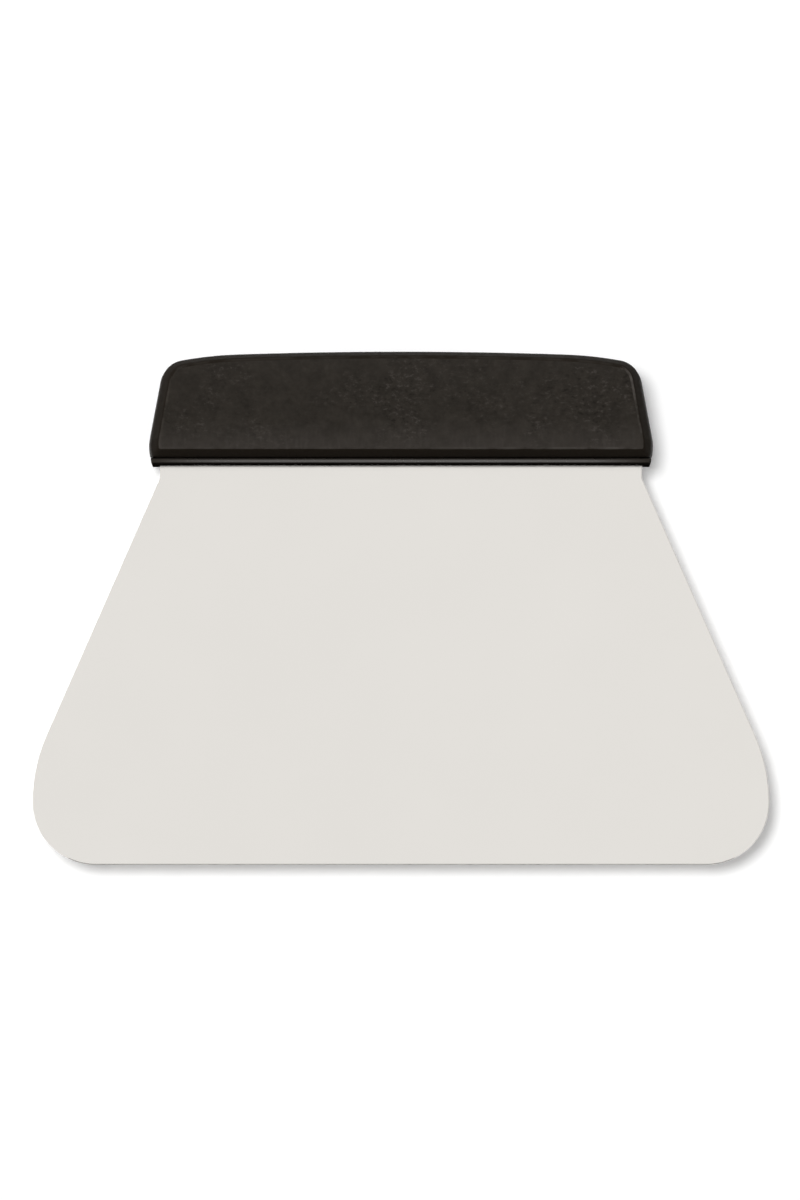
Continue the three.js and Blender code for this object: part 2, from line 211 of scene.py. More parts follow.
class Layout:
    """Heights and centres that follow from the sizes, in the tool's own frame.

    X runs along the working edge, Y goes from that edge to the top of the handle and Z comes out
    of the front face, with the middle of the sheet at Z = 0.
    """

    def __init__(self, scene):
        self.blade = blade = scene.scraper_blade
        self.handle = handle = scene.scraper_handle
        self.grip = grip = scene.scraper_grip
        self.core = core = scene.scraper_core

        self.handle_top = blade.reach + handle.height
        self.neck_half = handle.width / 2 - blade.neck_inset
        self.tang_half = self.neck_half - blade.shoulder_step
        self.core_top = self.handle_top - core.cover
        self.tang_top = self.core_top - blade.tang_cover
        self.shoulder_top = blade.reach + blade.shoulder_depth
        self.collar_top = blade.reach + core.collar_height
        self.grip_lower = self.collar_top + core.fit
        self.face_lower = self.grip_lower + grip.bevel
        self.wall_inset = grip.wall_half * math.tan(grip.wall_draft)
        self.widest_height = blade.reach + handle.widest_rise
        self.slot_half = blade.sheet / 2 + core.fit
        self.hollow_half = core.half + core.fit

        to_edge = (grip.half - blade.edge_land / 2) / self.face_lower
        to_strip = (grip.half - blade.sheet / 2) / (self.face_lower - blade.grind)
        self.face_slope = min(to_edge, to_strip)
        self.rest_angle = math.atan(self.face_slope)

        self.crown_start = math.acos((handle.width / 2 - handle.shoulder_run) / handle.crown_radius)
        self.crown_centre = Vector((0.0, self.handle_top - handle.crown_radius))
        crown_to_shoulder = handle.crown_radius - handle.shoulder_radius
        self.shoulder_centre = self.crown_centre + crown_to_shoulder * facing(self.crown_start)
        self.end_centre = Vector((handle.width / 2 - handle.end_radius, self.widest_height))
        self.mouth_half = self.end_half(self.grip_lower, core.cover - core.fit)
        self.corner_centre = self.touching_centre()
        to_corner = self.corner_centre - self.shoulder_centre
        self.corner_stop = math.atan2(to_corner.y, to_corner.x)

    def touching_centre(self):
        """Centre of the corner, which touches the shoulder and the straight stretch."""
        handle = self.handle
        up = facing(handle.side_lean + math.pi / 2)
        foot = self.end_centre + (handle.end_radius - handle.corner_radius) * facing(handle.side_lean)
        from_shoulder = foot - self.shoulder_centre
        across = from_shoulder.x * up.y - from_shoulder.y * up.x
        reach = math.sqrt((handle.shoulder_radius - handle.corner_radius) ** 2 - across**2)
        return foot + (reach - from_shoulder.dot(up)) * up

    def end_angle(self, height, inset):
        """Where the round of the handle's end passes a height, as an angle."""
        return math.asin((height - self.widest_height) / (self.handle.end_radius - inset))

    def end_half(self, height, inset):
        """Half width of the handle at a height below its widest point, moved in."""
        radius = self.handle.end_radius - inset
        return self.end_centre.x + radius * math.cos(self.end_angle(height, inset))

    def straight_half(self, height, inset):
        """Half width of the handle at a height on the straight stretch, moved in."""
        lean = self.handle.side_lean
        reach = self.end_centre.dot(facing(lean)) + self.handle.end_radius - inset
        return (reach - height * math.sin(lean)) / math.cos(lean)

    def narrowing(self, inset):
        """How much narrower a ring of the grip is because its ends move in further."""
        at_ends = inset * self.grip.end_bevel / self.grip.bevel
        return 1.0 - (at_ends - inset) / (self.handle.width / 2)

    def thickening(self, height):
        """How much thicker the handle is at a height than at the lower edge of its face."""
        return 1.0 + self.face_slope * (height - self.face_lower) / self.grip.half

    def block_steps(self, foot_half, clearance):
        """Steps up the core's block, or up the hollow round it, from its foot to its top.

        Each has its height, and its width as a share of the one before.
        """
        inset = self.core.cover - clearance
        middle = self.handle_top - self.handle.corner_radius
        top = self.core_top + clearance
        middle_half = self.straight_half(middle, inset)
        top_half = self.straight_half(top, inset) - self.handle.corner_radius / 2
        return [(middle, middle_half / foot_half), (top, top_half / middle_half)]

    def face_span(self):
        """Lower and upper edge of the face along the bench's Y."""
        lying = self.lying_down()
        heights = (self.face_lower, self.handle_top - self.grip.bevel)
        return [(lying @ Vector((0.0, height, self.grip.half))).y for height in heights]

    def lying_down(self):
        """Matrix from the tool's own frame to the bench: on the grip's rear face and the blade."""
        edge = BLADE_LOW.y + self.blade.edge_land / 2 * math.sin(self.rest_angle)
        rise = (self.grip.half - self.face_slope * self.face_lower) * math.cos(self.rest_angle)
        return Matrix.Translation((0.0, edge, rise)) @ Matrix.Rotation(self.rest_angle, 4, "X")


def facing(turn):
    """A flat direction at an angle from X."""
    return Vector((math.cos(turn), math.sin(turn)))


# Drawing and shaping

# Faces of a moulding that meet at less than this angle shade as one surface.
MOULD_CREASE = math.radians(30)


def only(kind, items):
    """The items of one kind among those that an operator made."""
    return [item for item in items if isinstance(item, kind)]


def everything(bm):
    """All that a shape is made of."""
    return bm.verts[:] + bm.edges[:] + bm.faces[:]


def extend(bm, vert, x, y):
    """Draws a straight line from a vertex and gives its far end."""
    far = bmesh.ops.extrude_vert_indiv(bm, verts=[vert])["verts"][0]
    far.co = (x, y, vert.co.z)
    return far


def sweep(bm, vert, centre, turn, steps):
    """Draws an arc from a vertex round a centre and gives its far end."""
    middle = (centre.x, centre.y, vert.co.z)
    made = bmesh.ops.spin(bm, geom=[vert], cent=middle, axis=(0, 0, 1), angle=turn, steps=steps)
    return only(bmesh.types.BMVert, made["geom_last"])[0]


def mirrored(bm, axis):
    """Adds the other half of a shape and joins the two on the mirror."""
    half = everything(bm)
    bmesh.ops.mirror(bm, geom=half, matrix=Matrix.Identity(4), merge_dist=MERGE, axis=axis)
    bmesh.ops.remove_doubles(bm, verts=bm.verts, dist=MERGE)
    bmesh.ops.recalc_face_normals(bm, faces=bm.faces)


def loft(bm, chains):
    """Skins open chains of edges, one after another, and closes the last with a flat face."""
    for lower, upper in zip(chains, chains[1:]):
        bmesh.ops.bridge_loops(bm, edges=lower + upper)
    ends = [vert for vert in chain_verts(chains[-1]) if abs(vert.co.x) < MERGE]
    closing = bm.edges.new(ends)
    bmesh.ops.contextual_create(bm, geom=chains[-1] + [closing])


def chain_verts(chain):
    """Vertices of a chain of edges, each once."""
    return list(dict.fromkeys(vert for edge in chain for vert in edge.verts))


def draw_chain(bm, draw, *details):
    """Edges that a drawing function adds."""
    before = set(bm.edges)
    draw(bm, *details)
    return [edge for edge in bm.edges if edge not in before]


def push_in(bm, faces, moves):
    """Extrudes faces up the tool in steps, each to a height and a share of the width before it.

    Gives the faces at the far end.
    """
    for height, narrowing in moves:
        made = bmesh.ops.extrude_face_region(bm, geom=faces)["geom"]
        bmesh.ops.delete(bm, geom=faces, context="FACES")
        faces = only(bmesh.types.BMFace, made)
        for vert in only(bmesh.types.BMVert, made):
            vert.co.x *= narrowing
            vert.co.y = height
    return faces


def sharp_edges(bm, limit):
    """Edges whose two faces meet at more than an angle."""
    return [edge for edge in bm.edges if edge.calc_face_angle(0.0) > limit]


def round_edges(bm, edges, offset, segments):
    """Rounds edges."""
    bmesh.ops.bevel(
        bm,
        geom=edges,
        offset=offset,
        offset_type="OFFSET",
        affect="EDGES",
        segments=segments,
        profile=0.5,
        material=-1,
        clamp_overlap=True,
    )


def shade_by_angle(bm, limit):
    """Smooth faces, with a crisp line wherever they meet at more than an angle."""
    for face in bm.faces:
        face.smooth = True
    for edge in bm.edges:
        edge.smooth = edge.calc_face_angle(0.0) < limit


def add_piece(bm, layout, name, node, slot, *materials):
    """Makes an object of a finished shape, laid down, and ties it to the part."""
    bmesh.ops.recalc_face_normals(bm, faces=bm.faces)
    bmesh.ops.transform(bm, matrix=layout.lying_down(), verts=bm.verts)
    mesh = bpy.data.meshes.new(name)
    bm.to_mesh(mesh)
    bm.free()
    for material in materials:
        mesh.materials.append(material)
    piece = bpy.data.objects.new(name, mesh)
    bpy.context.scene.collection.objects.link(piece)
    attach(piece, "root")
    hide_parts(node)


# Blade

# Steps of the outline's arcs and of its rounded edges, and sides of the anchor holes.
CORNER_STEPS = 32
EASE_STEPS = 12
TANG_CORNER_STEPS = 8
CUT_EDGE_STEPS = 2
HOLE_SIDES = 24
# Two faces of the sheet are one flat face if they meet at less than the first angle, shade as one
# surface up to the second, and have a cut edge between them past the third.
SHEET_FLAT = math.radians(0.1)
SHEET_CREASE = math.radians(6)
CUT_EDGE = math.radians(40)


def draw_blade_half(bm, layout):
    """Right half of the blade's outline, from the middle of the edge to the middle of the tang."""
    blade = layout.blade
    level = -blade.sheet / 2
    neck_lower = blade.reach - blade.neck_showing
    corner = Vector((blade.width / 2 - blade.corner, blade.corner))
    ease = Vector((blade.width / 2 - blade.flank_ease, blade.corner))
    to_neck = Vector((layout.neck_half, neck_lower)) - ease
    touch = math.atan2(to_neck.y, to_neck.x) - math.acos(blade.flank_ease / to_neck.length)
    tang_side = layout.tang_half - blade.tang_corner
    tang_centre = Vector((tang_side, layout.tang_top - blade.tang_corner))

    vert = bm.verts.new((0.0, 0.0, level))
    vert = extend(bm, vert, corner.x, 0.0)
    vert = sweep(bm, vert, corner, math.pi / 2, CORNER_STEPS)
    vert = sweep(bm, vert, ease, touch, EASE_STEPS)
    vert = extend(bm, vert, layout.neck_half, neck_lower)
    vert = extend(bm, vert, layout.neck_half, layout.shoulder_top)
    vert = extend(bm, vert, layout.tang_half, layout.shoulder_top)
    vert = extend(bm, vert, layout.tang_half, tang_centre.y)
    vert = sweep(bm, vert, tang_centre, math.pi / 2, TANG_CORNER_STEPS)
    extend(bm, vert, 0.0, layout.tang_top)


def punch_anchor_holes(bm, layout):
    """Round holes along the tang."""
    blade = layout.blade
    height = (layout.shoulder_top + layout.tang_top) / 2
    reach = layout.tang_half - blade.anchor_margin
    for i in range(blade.anchor_count):
        x = -reach + 2 * reach * i / (blade.anchor_count - 1)
        place = Matrix.Translation((x, height, -blade.sheet / 2))
        radius = blade.anchor_diameter / 2
        bmesh.ops.create_circle(bm, segments=HOLE_SIDES, radius=radius, matrix=place)


def thicken_sheet(bm, sheet):
    """Fills the outline round its holes and lifts a copy of it to the sheet's other face."""
    bmesh.ops.triangle_fill(bm, edges=bm.edges, use_beauty=True)
    bmesh.ops.dissolve_limit(bm, angle_limit=SHEET_FLAT, verts=bm.verts, edges=bm.edges)
    made = bmesh.ops.extrude_face_region(bm, geom=bm.faces[:])["geom"]
    lifted = only(bmesh.types.BMVert, made)
    bmesh.ops.translate(bm, verts=lifted, vec=(0.0, 0.0, sheet))
    bmesh.ops.recalc_face_normals(bm, faces=bm.faces)


def grind_edge(bm, blade, side):
    """Grinds the strip along the working edge on one side of the sheet."""
    depth = (blade.sheet - blade.edge_land) / 2
    cut = bmesh.ops.bisect_plane(
        bm,
        geom=everything(bm),
        dist=MERGE,
        plane_co=(0.0, blade.grind, side * blade.sheet / 2),
        plane_no=Vector((0.0, -depth, side * blade.grind)).normalized(),
        clear_outer=True,
    )
    bmesh.ops.contextual_create(bm, geom=only(bmesh.types.BMEdge, cut["geom_cut"]))


class SCRAPER_OT_blade(bpy.types.Operator):
    """Cut the blade from sheet steel, grind its edge and finish it"""

    bl_idname = "scraper.blade"
    bl_label = "Steel Blade"

    def execute(self, context):
        layout = Layout(context.scene)
        blade = layout.blade
        bm = bmesh.new()
        draw_blade_half(bm, layout)
        mirrored(bm, "X")
        punch_anchor_holes(bm, layout)
        thicken_sheet(bm, blade.sheet)
        for side in (1, -1):
            grind_edge(bm, blade, side)
        bmesh.ops.recalc_face_normals(bm, faces=bm.faces)
        round_edges(bm, sharp_edges(bm, CUT_EDGE), blade.edge_round, CUT_EDGE_STEPS)
        shade_by_angle(bm, SHEET_CREASE)
        steel = satin_steel(context.scene.scraper_finish)
        add_piece(bm, layout, "steel_blade", "blade", "blade_steel", steel)
        return {"FINISHED"}


# Core

# The core's materials, in the order of its slots.
SHADED_MATTE = 0
LIT_POLISHED = 1
# The collar takes the lit polished plastic wherever the Y of a face's normal lies between these two; below
# the first, its underside takes the dark matte plastic as painted shade.
UNDERSIDE = -0.6
TOP_SIDE = 0.95
# Steps of the collar's arcs: round each end, and over its lower and upper edges.
COLLAR_END_STEPS = 4
COLLAR_ROUND_STEPS = 6


def draw_collar_half(bm, layout, inset, level):
    """Right half of a ring round the collar, from the middle of its lower face to its top."""
    core = layout.core
    lower = layout.blade.reach + inset
    upper = layout.collar_top - inset * core.collar_ease / core.collar_round
    turn = layout.end_angle(upper, inset) - layout.end_angle(lower, inset)
    vert = bm.verts.new((0.0, lower, level))
    vert = extend(bm, vert, layout.tang_half + core.fit, lower)
    vert = extend(bm, vert, layout.neck_half + core.fit, lower)
    vert = extend(bm, vert, layout.end_half(lower, inset), lower)
    vert = sweep(bm, vert, layout.end_centre, turn, COLLAR_END_STEPS)
    vert = extend(bm, vert, layout.end_half(layout.collar_top, core.cover), upper)
    extend(bm, vert, 0.0, upper)


def collar_levels(layout):
    """How far each ring of the collar lies inside its outline, and its height."""
    core = layout.core
    radius = core.collar_round
    levels = [(0.0, 0.0), (0.0, layout.slot_half), (0.0, core.half)]
    for step in range(COLLAR_ROUND_STEPS + 1):
        turn = math.pi / 2 * step / COLLAR_ROUND_STEPS
        inset = radius * (1.0 - math.cos(turn))
        levels.append((inset, core.collar_half - radius * (1.0 - math.sin(turn))))
    return levels


def faces_within(bm, height, half_width, half_depth):
    """Faces that lie flat at a height, inside a width and a depth."""
    found = []
    for face in bm.faces:
        middle = face.calc_center_median()
        flat = all(abs(vert.co.y - height) < MERGE for vert in face.verts)
        if flat and abs(middle.x) < half_width and abs(middle.z) < half_depth:
            found.append(face)
    return found


def raise_block(bm, layout):
    """Raises the core's block, which goes inside the grip, from the top of the collar."""
    foot_half = layout.end_half(layout.collar_top, layout.core.cover)
    foot = faces_within(bm, layout.collar_top, foot_half, layout.core.half)
    push_in(bm, foot, layout.block_steps(foot_half, 0.0))


def sink_slot(bm, layout):
    """Sinks the tang's slot into the lower face of the collar, with room for the shoulders."""
    fit = layout.core.fit
    mouth = faces_within(bm, layout.blade.reach, layout.neck_half + fit, layout.slot_half)
    shoulders = push_in(bm, mouth, [(layout.shoulder_top + fit, 1.0)])
    tang_half = layout.tang_half + fit
    inner = [face for face in shoulders if abs(face.calc_center_median().x) < tang_half]
    push_in(bm, inner, [(layout.tang_top + fit, 1.0)])


def taper_block(bm, layout):
    """Makes the block thicker towards its top, as the grip is."""
    for vert in bm.verts:
        if vert.co.y > layout.collar_top + MERGE and abs(vert.co.z) > layout.core.half - MERGE:
            vert.co.z *= layout.thickening(vert.co.y)


def polish_and_shade_collar(bm, layout):
    """Gives the outside of the collar the polished plastic, painted paler as a highlight, and all the rest
    the matte one, which paints shade on the collar's underside.
    """
    bmesh.ops.recalc_face_normals(bm, faces=bm.faces)
    for face in bm.faces:
        on_collar = face.calc_center_median().y < layout.collar_top - MERGE
        faces_out = UNDERSIDE < face.normal.y < TOP_SIDE
        face.material_index = LIT_POLISHED if on_collar and faces_out else SHADED_MATTE


class SCRAPER_OT_handle_core(bpy.types.Operator):
    """Mould the hard core round the tang, with the collar that shows below the grip"""

    bl_idname = "scraper.handle_core"
    bl_label = "Handle Core"

    def execute(self, context):
        layout = Layout(context.scene)
        bm = bmesh.new()
        rings = collar_levels(layout)
        loft(bm, [draw_chain(bm, draw_collar_half, layout, inset, level) for inset, level in rings])
        mirrored(bm, "Z")
        mirrored(bm, "X")
        raise_block(bm, layout)
        sink_slot(bm, layout)
        taper_block(bm, layout)
        polish_and_shade_collar(bm, layout)
        shade_by_angle(bm, MOULD_CREASE)
        finish = context.scene.scraper_finish
        plastics = (hard_plastic(finish), lit_polished_plastic(finish, layout.handle.width / 2))
        add_piece(bm, layout, "moulded_core", "handle_core", "core_plastic", *plastics)
        return {"FINISHED"}


# Grip

# Steps of the outline's arcs, from an end to the crown, and of its rounded edges.
GRIP_END_STEPS = 5
GRIP_CORNER_STEPS = 16
GRIP_SHOULDER_STEPS = 8
GRIP_CROWN_STEPS = 6
GRIP_EASE_STEPS = 6
# Edges whose faces meet at more than this angle are rounded.
GRIP_EDGE = math.radians(20)
# Attributes that the rubber reads: the share of the face's tone, where the rest is the painted shade of the
# bevels and walls, and the painted highlight along the edge of the face.
TONE_AND_SHADE_ATTRIBUTE = "face_tone_and_shade"
SHEEN_ATTRIBUTE = "edge_sheen"
# Painted highlight on the face's edge, from 0 to 1: most at the right upper corner, less at that end and
# all round.
CORNER_SHEEN = 1.0
END_SHEEN = 0.5
EDGE_SHEEN = 0.15
# How deep the painted highlight and the face's own tone go into the rounding, as a share of its size.
SHEEN_DEPTH = 0.3
FACE_DEPTH = 0.25
# The bevel along the top: the least Y of its faces' normals, and how much of the face's tone they have, as
# painted light on a bevel that faces up.
TOP_LEAN = 0.1
TOP_LIGHT_TONE = 0.15


def draw_grip_half(bm, layout, inset, level):
    """Right half of a ring round the grip, from the middle of its lower face to its top."""
    handle = layout.handle
    bevel = layout.grip.bevel
    past_wall = max(0.0, inset - layout.wall_inset)
    lower = layout.grip_lower + past_wall * bevel / (bevel - layout.wall_inset)
    lean = handle.side_lean
    end = layout.end_half(lower, inset)
    vert = bm.verts.new((0.0, lower, level))
    vert = extend(bm, vert, min(layout.mouth_half, end - layout.core.cover / 2), lower)
    vert = extend(bm, vert, end, lower)
    vert = sweep(bm, vert, layout.end_centre, lean - layout.end_angle(lower, inset), GRIP_END_STEPS)
    corner = layout.corner_centre + (handle.corner_radius - inset) * facing(lean)
    vert = extend(bm, vert, corner.x, corner.y)
    corner_turn = layout.corner_stop - lean
    shoulder_turn = layout.crown_start - layout.corner_stop
    crown_turn = math.pi / 2 - layout.crown_start
    vert = sweep(bm, vert, layout.corner_centre, corner_turn, GRIP_CORNER_STEPS)
    vert = sweep(bm, vert, layout.shoulder_centre, shoulder_turn, GRIP_SHOULDER_STEPS)
    vert = sweep(bm, vert, layout.crown_centre, crown_turn, GRIP_CROWN_STEPS)
    vert.co.x = 0.0


def grip_levels(layout):
    """How far each ring of the grip lies inside its outline, and its height."""
    grip = layout.grip
    return [
        (0.0, 0.0),
        (layout.hollow_half * math.tan(grip.wall_draft), layout.hollow_half),
        (layout.wall_inset, grip.wall_half),
        (grip.bevel, grip.half),
        (grip.bevel + grip.face_margin, grip.half),
    ]


def mark_tone_and_shade(bm, grip):
    """Marks how much of the face's tone each face of the mesh has; the rest is the painted shade of the
    bevels and walls, and the bevel along the top gets a little of the face's tone back as painted light.
    """
    tone = bm.faces.layers.float.new(TONE_AND_SHADE_ATTRIBUTE)
    for face in bm.faces:
        depth = grip.half - abs(face.calc_center_median().z)
        upwards = face.normal.y > TOP_LEAN
        tone_stop = MERGE if upwards else grip.edge_ease * FACE_DEPTH
        if depth < tone_stop:
            face[tone] = 1.0
        elif upwards:
            face[tone] = TOP_LIGHT_TONE


def mark_sheen(bm, layout):
    """Marks where the edge round the face takes a painted highlight."""
    grip = layout.grip
    corner = layout.corner_centre
    sheen = bm.verts.layers.float.new(SHEEN_ATTRIBUTE)
    for vert in bm.verts:
        if MERGE < grip.half - abs(vert.co.z) < grip.edge_ease * SHEEN_DEPTH:
            end_sheen = CORNER_SHEEN if vert.co.y > corner.y else END_SHEEN
            vert[sheen] = end_sheen if vert.co.x > corner.x else EDGE_SHEEN


def hollow_out(bm, layout):
    """Hollows the grip for the core's block, from its lower face up."""
    mouth = faces_within(bm, layout.grip_lower, layout.mouth_half, layout.hollow_half)
    push_in(bm, mouth, layout.block_steps(layout.mouth_half, layout.core.fit))


class SCRAPER_OT_soft_grip(bpy.types.Operator):
    """Mould the soft grip over the core"""

    bl_idname = "scraper.soft_grip"
    bl_label = "Soft Grip"

    def execute(self, context):
        layout = Layout(context.scene)
        grip = layout.grip
        bm = bmesh.new()
        chains = []
        for inset, level in grip_levels(layout):
            chains.append(draw_chain(bm, draw_grip_half, layout, inset, level))
            for vert in chain_verts(chains[-1]):
                vert.co.x *= layout.narrowing(inset)
        loft(bm, chains)
        mirrored(bm, "Z")
        mirrored(bm, "X")
        round_edges(bm, sharp_edges(bm, GRIP_EDGE), grip.edge_ease, GRIP_EASE_STEPS)
        mark_tone_and_shade(bm, grip)
        mark_sheen(bm, layout)
        hollow_out(bm, layout)
        for vert in bm.verts:
            vert.co.z *= layout.thickening(vert.co.y)
        shade_by_angle(bm, MOULD_CREASE)
        rubber = soft_rubber(context.scene.scraper_finish, layout)
        add_piece(bm, layout, "rubber_grip", "soft_grip", "grip_rubber", rubber)
        return {"FINISHED"}


# Finishes


class Nodes:
    """Short ways to add and join the nodes of a material or a world."""

    def __init__(self, owner):
        owner.use_nodes = True
        self.tree = owner.node_tree

    def add(self, kind, **settings):
        """A new node."""
        node = self.tree.nodes.new(kind)
        for key, value in settings.items():
            setattr(node, key, value)
        return node

    def feed(self, socket, value):
        """Joins the output of a node to a socket, or sets the socket to a plain value."""
        if isinstance(value, bpy.types.NodeSocket):
            self.tree.links.new(value, socket)
        else:
            socket.default_value = value

    def place(self, stretch=(1.0, 1.0, 1.0)):
        """Object coordinates, times a stretch along each axis."""
        coordinates = self.add("ShaderNodeTexCoord")
        mapping = self.add("ShaderNodeMapping")
        self.feed(mapping.inputs["Vector"], coordinates.outputs["Object"])
        self.feed(mapping.inputs["Scale"], stretch)
        return mapping.outputs["Vector"]

    def along(self, axis):
        """Object coordinates along one axis."""
        node = self.add("ShaderNodeSeparateXYZ")
        self.feed(node.inputs["Vector"], self.place())
        return node.outputs[axis]

    def noise(self, place, per_metre, detail=2.0, roughness=0.5):
        """Cloudy noise round 0.5, with about so many clouds in a metre of unstretched place."""
        node = self.add("ShaderNodeTexNoise")
        self.feed(node.inputs["Vector"], place)
        self.feed(node.inputs["Scale"], per_metre)
        self.feed(node.inputs["Detail"], detail)
        self.feed(node.inputs["Roughness"], roughness)
        return node.outputs["Fac"]

    def attribute(self, name):
        """A number that the mesh carries."""
        return self.add("ShaderNodeAttribute", attribute_name=name).outputs["Fac"]

    def spread(self, value, low, high, start=0.3, stop=0.7, ramp="LINEAR"):
        """A number that goes from low to high while the value goes from start to stop."""
        node = self.add("ShaderNodeMapRange", interpolation_type=ramp)
        self.feed(node.inputs["Value"], value)
        self.feed(node.inputs["From Min"], start)
        self.feed(node.inputs["From Max"], stop)
        self.feed(node.inputs["To Min"], low)
        self.feed(node.inputs["To Max"], high)
        return node.outputs["Result"]

    def combined(self, operation, first, *second):
        """One number worked out from one or two."""
        node = self.add("ShaderNodeMath", operation=operation)
        for socket, value in zip(node.inputs, (first, *second)):
            self.feed(socket, value)
        return node.outputs["Value"]

    def times(self, first, second):
        """The product of two numbers."""
        return self.combined("MULTIPLY", first, second)

    def between(self, factor, first, second):
        """A number that goes from the first to the second as the factor goes from 0 to 1."""
        node = self.add("ShaderNodeMix")
        self.feed(node.inputs["Factor"], factor)
        self.feed(node.inputs["A"], first)
        self.feed(node.inputs["B"], second)
        return node.outputs["Result"]

    def blended(self, factor, first, second):
        """A colour that goes from the first to the second as the factor goes from 0 to 1."""
        node = self.add("ShaderNodeMix", data_type="RGBA")
        self.feed(node.inputs["Factor"], factor)
        for name, value in (("A", first), ("B", second)):
            self.feed(colour_socket(node.inputs, name), value)
        return colour_socket(node.outputs, "Result")

    def bump(self, height, depth, strength, below=None):
        """Normals of a surface with so deep a relief, on top of another relief if there is one."""
        node = self.add("ShaderNodeBump")
        self.feed(node.inputs["Height"], height)
        self.feed(node.inputs["Distance"], depth)
        self.feed(node.inputs["Strength"], strength)
        if below is not None:
            self.feed(node.inputs["Normal"], below)
        return node.outputs["Normal"]

    def seen_by(self, *rays):
        """1 where any of the kinds of ray arrives, else 0."""
        path = self.add("ShaderNodeLightPath")
        found = path.outputs[rays[0]]
        for ray in rays[1:]:
            found = self.combined("MAXIMUM", found, path.outputs[ray])
        return found


class Surface(Nodes):
    """The nodes of one material, with its shader."""

    def __init__(self, name):
        self.material = bpy.data.materials.new(name)
        super().__init__(self.material)
        self.shader = self.tree.nodes["Principled BSDF"]

    def give(self, quality, value):
        """Sets a quality of the shader, or joins it to a node."""
        self.feed(self.shader.inputs[quality], value)


def colour_socket(sockets, name):
    """The socket for colours among those of one name."""
    return next(socket for socket in sockets if socket.name == name and socket.type == "RGBA")


def opaque(base):
    """A colour with the fourth number that sockets need."""
    return (*base, 1.0)


def tinted(base, amount):
    """A colour made lighter or darker."""
    return opaque(min(1.0, channel * amount) for channel in base)


# Steel: its grain runs along the working edge, and its clouds tint it a little.
STEEL_GRAIN_STRETCH = (12.0, 900.0, 900.0)
STEEL_GRAIN_DEPTH = 0.002 * MM
STEEL_CLOUD_TINTS = (0.985, 1.015)


def satin_steel(finish):
    """Stainless sheet with a fine grain along the edge, and faint cloudy patches."""
    steel = Surface("satin steel")
    grain = steel.noise(steel.place(STEEL_GRAIN_STRETCH), per_metre=4.0, detail=3.0)
    clouds = steel.noise(steel.place(), per_metre=40.0, detail=3.0)
    darker, lighter = (tinted(finish.steel, amount) for amount in STEEL_CLOUD_TINTS)
    steel.give("Metallic", 1.0)
    steel.give("Base Color", steel.blended(clouds, darker, lighter))
    steel.give("Roughness", steel.spread(grain, low=0.15, high=0.21))
    steel.give("Normal", steel.bump(grain, STEEL_GRAIN_DEPTH, strength=0.12))
    return steel.material


# Plastic: the depth of its orange peel, its cloudy tints, and where its polish fades towards the collar's
# ends, as shares of half the handle's width.
PEEL_DEPTH = 0.01 * MM
PLASTIC_CLOUD_TINTS = (0.8, 1.2)
POLISH_FADE = (0.72, 0.97)


def black_plastic(name, base):
    """Black plastic with a faint orange-peel surface and a cloudy tone."""
    plastic = Surface(name)
    peel = plastic.noise(plastic.place(), per_metre=900.0)
    clouds = plastic.noise(plastic.place(), per_metre=150.0)
    darker, lighter = (tinted(base, amount) for amount in PLASTIC_CLOUD_TINTS)
    plastic.give("Base Color", plastic.blended(clouds, darker, lighter))
    plastic.give("Roughness", plastic.spread(clouds, low=0.22, high=0.34))
    plastic.give("Normal", plastic.bump(peel, PEEL_DEPTH, strength=0.2))
    return plastic


def hard_plastic(finish):
    """The core inside the grip and under the collar, where its dark plastic, which reflects nothing, is
    painted shade.
    """
    plastic = black_plastic("shaded hard black plastic", finish.core)
    plastic.give("Specular IOR Level", 0.0)
    return plastic.material


def lit_polished_plastic(finish, half_width):
    """The core where it shows as the collar: polished unevenly, and duller at its ends, on a paler base
    that paints in part of its highlight.
    """
    plastic = black_plastic("lit polished black plastic", finish.core_polished_lit)
    from_middle = plastic.combined("ABSOLUTE", plastic.along("X"))
    fade_start, fade_stop = (part * half_width for part in POLISH_FADE)
    ends = plastic.spread(from_middle, low=1.0, high=0.0, start=fade_start, stop=fade_stop)
    bands = plastic.spread(plastic.noise(plastic.place(), per_metre=25.0), low=0.65, high=1.1)
    plastic.give("Specular IOR Level", plastic.times(ends, bands))
    return plastic.material


# Rubber: tints of its blotches and pits, and how strongly each mark shows, from 0 to 1; the strip and the
# top are painted light.
BLOTCH_TINTS = (0.76, 1.22)
PIT_TINT = 0.5
SPECKS_SHOW = 0.15
SCRATCHES_SHOW = 0.8
PITS_SHOW = 0.9
LIT_STRIP_SHOWS = 0.42
STREAKS_SHOW = 0.8
TOP_LIGHT_SHOWS = 0.1
# Rubber: scuffs lie along the working edge, and streaks across it.
SCUFF_STRETCH = (1.0, 1.6, 1.0)
STREAK_STRETCH = (1.0, 0.2, 1.0)
# Rubber: heights of the strips along the lower edge and the top of the face that are painted paler as
# painted light, how far their borders waver, and the depths of the coarse and the fine grain.
LIT_STRIP_HEIGHT = 7.0 * MM
TOP_LIGHT_HEIGHT = 8.0 * MM
WAVER = 1.0 * MM
COARSE_DEPTH = 0.02 * MM
FINE_DEPTH = 0.01 * MM


def mottled_tone(rubber, finish, specks):
    """The tone of the moulded face: blotches, and fine pale specks."""
    blotches = rubber.noise(rubber.place(), per_metre=330.0, detail=4.0, roughness=0.6)
    darker, lighter = (tinted(finish.grip, amount) for amount in BLOTCH_TINTS)
    tone = rubber.blended(rubber.spread(blotches, low=0.0, high=1.0), darker, lighter)
    pale_specks = rubber.spread(specks, low=0.0, high=SPECKS_SHOW)
    return rubber.blended(pale_specks, tone, opaque(finish.grip_pale))


